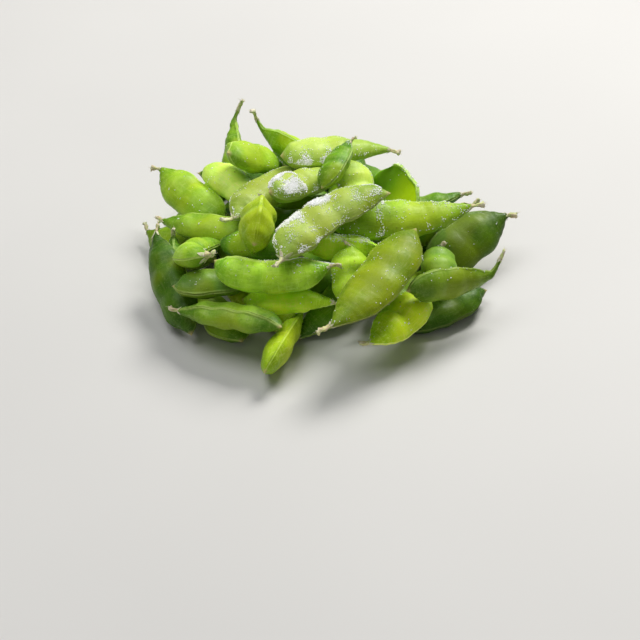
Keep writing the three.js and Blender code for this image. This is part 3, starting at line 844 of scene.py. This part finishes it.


# how single pods differ from their tone: light is painted light and shade, a gain on the colour for how lit
# each pod stands, yellow shifts the colour, seam, lumps, calyx and fray scale the relief, the dry lobes and
# the broken stalk's fibres, dry makes the stalk whitish, seamTurn is where the seams lie, in steps from
# corner to corner, keel raises them, most where the pod is fullest, seamWide and seamPale are how wide and
# how strong their pale line is, and the mark for a dark face puts painted shade on one wall
looks = {
    "salty_star": {"toneAndPaintedLight": -0.25, "yellow": 0.05, "calyx": 1.0, "dry": 0.9},
    "salty_small": {"toneAndPaintedLight": -0.1, "yellow": -0.1},
    "pale_long": {"seamTurn": 0.3, "toneAndPaintedLight": -0.4, "yellow": 0.2, "calyx": 0.9, "dry": 0.9},
    "back_pale": {"toneAndPaintedLight": 0.2, "yellow": 0.05, "lumps": 0.6, "seamTurn": -1.1},
    "left_round": {"toneAndPaintedLight": 1.0, "lumps": 0.4, "seamTurn": -0.7},
    "back_tip": {"toneAndPaintedLight": 0.7, "yellow": 0.15},
    "front_big": {"seamTurn": 0.15, "toneAndPaintedLight": -0.5, "yellow": 0.15, "seam": 1.3, "lumps": 0.5},
    "ridge_up": {"toneAndPaintedLight": 0.35, "keel": 2.0, "yellow": 0.15, "seam": 1.2, "seamWide": 0.4, "seamPale": 0.35},
    "front_tip": {"toneAndPaintedLight": 0.7, "yellow": 0.15, "dry": 1.0, "seam": 0.8, "seamPale": 0.6},
    "front_right_tip": {"toneAndPaintedLight": 1.5, "yellow": 0.2, "lumps": 1.2},
    "under_long": {"toneAndPaintedLight": 0.6, "yellow": 0.2},
    "front_mid": {"seamTurn": -1.0, "toneAndPaintedLight": 2.4, "yellow": 0.35, "dry": 0.4, "lumps": 0.6},
    "long_s": {"seamTurn": -0.95, "toneAndPaintedLight": 1.2, "seam": 1.6, "seamWide": 1.0, "lumps": 0.7},
    "curled": {"toneAndPaintedLight": 0.35, "yellow": 0.1, "calyx": 0.9},
    "left_up": {"toneAndPaintedLight": 0.45, "yellow": 0.2, "lumps": 0.5, "keel": 0.5, "seamTurn": 0.45},
    "left_far_top": {"seamTurn": 1.8, "toneAndPaintedLight": 0.05, "seam": 1.5, "calyx": 0.9},
    "left_far_low": {"toneAndPaintedLight": 0.2, "yellow": 0.3},
    "left_tip": {"seamTurn": 0.3, "toneAndPaintedLight": -0.4, "yellow": -0.35, "seam": 1.4, "seamWide": 1.0},
    "left_rim": {"toneAndPaintedLight": -0.65, "yellow": -0.1, "calyx": 1.2},
    "left_narrow": {"toneAndPaintedLight": 0.2, "dry": 0.9},
    "right_big": {"seamTurn": -0.6, "toneAndPaintedLight": 0.4, "yellow": 0.25, "calyx": 1.0, "fray": 1.4},
    "right_wide": {"seamTurn": -0.55, "toneAndPaintedLight": -0.7, "yellow": 0.15, "seam": 1.3, "lumps": 0.3, "keel": 0.7},
    "right_under": {"toneAndPaintedLight": 0.2},
    "right_blunt": {"toneAndPaintedLight": -0.15, "yellow": -0.35, "dry": 0.7},
    "right_hook": {"toneAndPaintedLight": -0.5, "yellow": 0.1, "fray": 1.0, "dry": 0.8},
    "right_low": {"toneAndPaintedLight": -0.7, "yellow": -0.1},
    "back_right": {"toneAndPaintedLight": 0.1, "yellow": 0.1},
    "back_upright": {"toneAndPaintedLight": 0.2, "fray": 1.6, "dry": 1.0},
    "back_left_wide": {"toneAndPaintedLight": 0.35, "yellow": 0.1, "lumps": 0.6, "seamTurn": -1.0},
    "back_stub": {"toneAndPaintedLight": 1.1, "yellow": 0.25, "dry": 0.9},
    "back_thin": {"toneAndPaintedLight": 0.3, "yellow": 0.0, "calyx": 0.8},
    "centre_stub": {"toneAndPaintedLight": 1.2, "yellow": 0.3, "calyx": 0.8, "dry": 0.9},
    "centre_small": {"toneAndPaintedLight": 2.6, "yellow": 0.35, "seam": 1.5, "seamWide": 1.1, "calyx": 0.9, "fray": 1.3},
    "front_left": {"seamTurn": -1.6, "toneAndPaintedLight": -0.25, "yellow": -0.15, "seam": 1.6, "seamWide": 1.0},
    "front_dark": {"toneAndPaintedLight": 0.0, "yellow": 0.1},
    "mid_left": {"seamTurn": -1.0, "toneAndPaintedLight": 0.0, "yellow": -0.1},
    "mid_dark": {"toneAndPaintedLight": 0.2, "yellow": -0.3},
    "shadow_mid": {"toneAndPaintedLight": 0.2, "yellow": -0.5},
    "boat": {
        "toneAndPaintedLight": 1.3, "yellow": 0.2, "seam": 1.4, "seamWide": 1.4, "calyx": 1.2, "dry": 0.9, "shadedFace": True
    },
}
# what a skin's material reads from the mesh
keysOfSkin = ("straight", "seam", "stub", "along", "bean", "dry", "inner", "frost", "toneAndPaintedLight", "yellow")
skins = {}


def makePod(node):
    # one skin, with its dry lobes and fibres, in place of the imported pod
    name = node.removeprefix("pod_")
    shown = not name.rstrip("0123456789").endswith("_")
    look = looks.get(name, {})
    skin = Skin(node, shown, look)
    skins[name] = skin
    parts = Parts(keysOfSkin)
    addSkin(parts, name, skin, look)
    if shown:
        addCalyx(parts, skin, look)
        addFibres(parts, skin, look)
    draw = np.random.default_rng(skin.seed + 31)
    # painted light and shade from each listed look; pods without one get a small random tone shift
    parts.values["toneAndPaintedLight"] = [np.full(parts.count, look.get("toneAndPaintedLight", draw.uniform(-0.2, 0.2)))]
    parts.values["yellow"] = [np.full(parts.count, look.get("yellow", draw.uniform(-0.1, 0.15)))]
    piece = parts.build("skin_" + name)
    piece.data.materials.append(skinMaterials[toneOf[node]])
    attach(piece, "root")
    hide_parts(node)


for node in sorted(frame["nodes"]):
    makePod(node)
print("pods grown:", len(skins))


# a crystal of salt
cubeCorners = np.array([(x, y, z) for x in (-1, 1) for y in (-1, 1) for z in (-1, 1)], dtype=float)
cubeFaces = [(0, 1, 3, 2), (4, 6, 7, 5), (0, 4, 5, 1), (2, 3, 7, 6), (0, 2, 6, 4), (1, 5, 7, 3)]


def acrossPlaces(skin, rows, across):
    # place round the section for each row, counted from its top towards the near side
    normals = skin.normals[rows]
    angle = acrossOf(normals)
    near = np.abs(normals[..., 1]) + np.abs(normals[..., 2])
    miss = np.abs(angle - across[:, None]) + 2.0 * (near < 0.5)
    return miss.argmin(1)


def turnedCubes(draw, count, sizes):
    # crystals as slightly uneven boxes, turned at random
    spin = draw.normal(size=(count, 4))
    w, x, y, z = (spin / np.linalg.norm(spin, axis=1)[:, None]).T
    turn = np.array(
        [
            [1 - 2 * (y * y + z * z), 2 * (x * y - z * w), 2 * (x * z + y * w)],
            [2 * (x * y + z * w), 1 - 2 * (x * x + z * z), 2 * (y * z - x * w)],
            [2 * (x * z - y * w), 2 * (y * z + x * w), 1 - 2 * (x * x + y * y)],
        ]
    ).transpose(2, 0, 1)
    half = draw.uniform(*sizes, (count, 1)) * draw.uniform(0.7, 1.25, (count, 3))
    boxes = cubeCorners[None] * half[:, None] * (1 + 0.18 * draw.normal(size=(count, 8, 1)))
    return np.einsum("nij,nkj->nki", turn, boxes), half.mean(1)


def makeSaltMaterial():
    n = Nodes("salt")
    place = n.add("ShaderNodeTexCoord").outputs["Object"]
    cloud = n.noise(place, 900.0, 2.0)
    n.feed(n.shader, "Base Color", n.mix(n.ramp(cloud, 0.35, 0.65), *saltMix["colours"]))
    n.feed(n.shader, "Roughness", n.ramp(cloud, 0.3, 0.7, 0.12, 0.45))
    n.feed(n.shader, "Normal", n.bump(n.noise(place, 4000.0, 2.0), 0.3, 0.00005))
    return n.finish(saltFinish)


def makeSalt(name, patches, sizes, material):
    draw = np.random.default_rng(saltMix["seed"] + len(name))
    points, faces, count = [], [], 0
    for pod, t0, t1, a0, a1, grains, pile in patches:
        skin = skins[pod]
        clump = Ripple(skin.seed + 41, saltMix["clump"])
        t = draw.uniform(t0, t1, grains * saltMix["tries"])
        rows = np.clip((t * (len(skin.s) - 1)).astype(int), 0, len(skin.s) - 2)
        columns = acrossPlaces(skin, rows, draw.uniform(a0, a1, len(t)))
        stray = draw.uniform(-saltMix["stray"], saltMix["stray"], len(t))
        spot, normal = skin.at(t, skin.p[columns] + stray)
        keep = clump(spot) + saltMix["patchy"] * draw.normal(size=len(t)) > saltMix["keepOver"]
        spot, normal = spot[keep][:grains], normal[keep][:grains]
        cubes, half = turnedCubes(draw, len(spot), sizes)
        rise = half * (1 - 2 * saltMix["sunk"]) + pile * np.abs(draw.normal(size=len(spot))) * saltMix["heap"]
        cubes = cubes + (spot + rise[:, None] * normal)[:, None]
        points.append(cubes.reshape(-1, 3))
        for _ in range(len(spot)):
            faces += [tuple(c + count for c in face) for face in cubeFaces]
            count += 8
    piece = meshObject(name, np.concatenate(points), faces, smooth=False)
    piece.data.materials.append(material)
    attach(piece, "root")
    print(name, "crystals:", count // 8)


saltMaterial = makeSaltMaterial()
thick = [row for row in saltPatches if row[0].startswith("salty")]
loose = [row for row in saltPatches if row not in thick]
makeSalt("salt_thick", thick, saltMix["fine"], saltMaterial)
makeSalt("salt_loose", loose, saltMix["loose"], saltMaterial)


# fuzz: short hairs on the pods that show
fuzz = {
    "perPod": 1300,  # on a pod of the plain length
    "plainLength": 50,
    "reach": (0.35, 0.8),
    "thick": 0.016,
    "sunk": 0.05,
    "forward": 0.8,  # how far hairs lean towards the beak
    "unruly": 0.35,
    "colours": ((0.32, 0.48, 0.08), (0.66, 0.76, 0.34)),
    "seed": 5,
}


def makeFuzzMaterial():
    n = Nodes("fuzz")
    place = n.add("ShaderNodeTexCoord").outputs["Object"]
    shade = n.noise(place, 300.0, 2.0)
    n.feed(n.shader, "Base Color", n.mix(n.ramp(shade, 0.3, 0.7), *fuzz["colours"]))
    n.feed(n.shader, "Roughness", n.ramp(shade, 0.3, 0.7, 0.4, 0.6))
    return n.material


def makeFuzz():
    draw = np.random.default_rng(fuzz["seed"])
    points, faces, count = [], [], 0
    for name, skin in skins.items():
        if not skin.shown:
            continue
        hairs = int(fuzz["perPod"] * skin.length / fuzz["plainLength"])
        t = draw.uniform(0.1, 0.99, hairs)
        spot, normal = skin.at(t, draw.uniform(0, packed["sides"], hairs))
        row = (t * len(skin.s)).astype(int)
        fore, aft = (np.clip(row + step, 0, len(skin.s) - 1) for step in (2, -2))
        ahead = skin.centres[fore] - skin.centres[aft]
        ahead /= np.linalg.norm(ahead, axis=1)[:, None] + 1e-9
        way = normal + fuzz["forward"] * ahead + fuzz["unruly"] * draw.normal(size=(hairs, 3))
        way /= np.linalg.norm(way, axis=1)[:, None]
        side = np.cross(way, draw.normal(size=(hairs, 3)))
        side /= np.linalg.norm(side, axis=1)[:, None]
        other = np.cross(way, side)
        reach = draw.uniform(*fuzz["reach"], (hairs, 1))
        root = spot - fuzz["sunk"] * normal
        thick = fuzz["thick"]
        corners = [
            root + side * thick,
            root - side * thick * 0.5 + other * thick * 0.87,
            root - side * thick * 0.5 - other * thick * 0.87,
            root + way * reach,
        ]
        points.append(np.stack(corners, 1).reshape(-1, 3))
        for _ in range(hairs):
            a = count
            faces += [(a, a + 1, a + 3), (a + 1, a + 2, a + 3), (a + 2, a, a + 3), (a + 2, a + 1, a)]
            count += 4
    piece = meshObject("fuzz_hairs", above(np.concatenate(points)), faces, smooth=False)
    piece.data.materials.append(makeFuzzMaterial())
    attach(piece, "root")
    print("hairs:", count // 4)


makeFuzz()


# the surface, the light and the air
studio = {
    "floor": (0.65, 0.64, 0.622),
    "floorReach": 3.0,  # metres
    "floorRoughness": 0.6,
    "world": (0.95, 0.97, 1.0),
    "worldStrength": 0.1,
}
# place, aim, size in metres, watts, colour
lamps = {
    "window": ((0.45, 0.75, 0.95), (0, 0, 0.02), 0.5, 16.0, (1.0, 0.985, 0.95)),
    "overhead": ((-0.35, 0.1, 1.1), (0, 0, 0.02), 0.8, 6.4, (0.98, 0.99, 1.0)),
    "front": ((-0.3, -1.1, 0.7), (0, 0, 0.02), 0.9, 1.1, (1.0, 0.98, 0.95)),
}


def makeStudio():
    reach = studio["floorReach"]
    corners = [(x * reach, y * reach, 0.0) for x, y in ((-1, -1), (1, -1), (1, 1), (-1, 1))]
    floor = meshObject("floor", np.array(corners) / mm, [(0, 1, 2, 3)], smooth=False)
    n = Nodes("table")
    place = n.add("ShaderNodeTexCoord").outputs["Object"]
    cloud = n.noise(place, 6.0, 2.0)
    tint = tuple(0.97 * c for c in studio["floor"])
    n.feed(n.shader, "Base Color", n.mix(n.ramp(cloud, 0.3, 0.7), tint, studio["floor"]))
    floor.data.materials.append(n.finish({"Roughness": studio["floorRoughness"]}))
    world = bpy.data.worlds.new("air")
    world.use_nodes = True
    back = world.node_tree.nodes["Background"]
    back.inputs["Color"].default_value = (*studio["world"], 1.0)
    back.inputs["Strength"].default_value = studio["worldStrength"]
    bpy.context.scene.world = world
    for name, (place, aim, size, watts, colour) in lamps.items():
        data = bpy.data.lights.new(name, "AREA")
        data.size = size
        data.energy = watts
        data.color = colour
        lamp = bpy.data.objects.new(name, data)
        lamp.location = place
        way = Vector(aim) - Vector(place)
        lamp.rotation_euler = way.to_track_quat("-Z", "Y").to_euler()
        bpy.context.scene.collection.objects.link(lamp)
    bpy.context.scene.view_settings.view_transform = "Standard"


makeStudio()
print("studio lit")
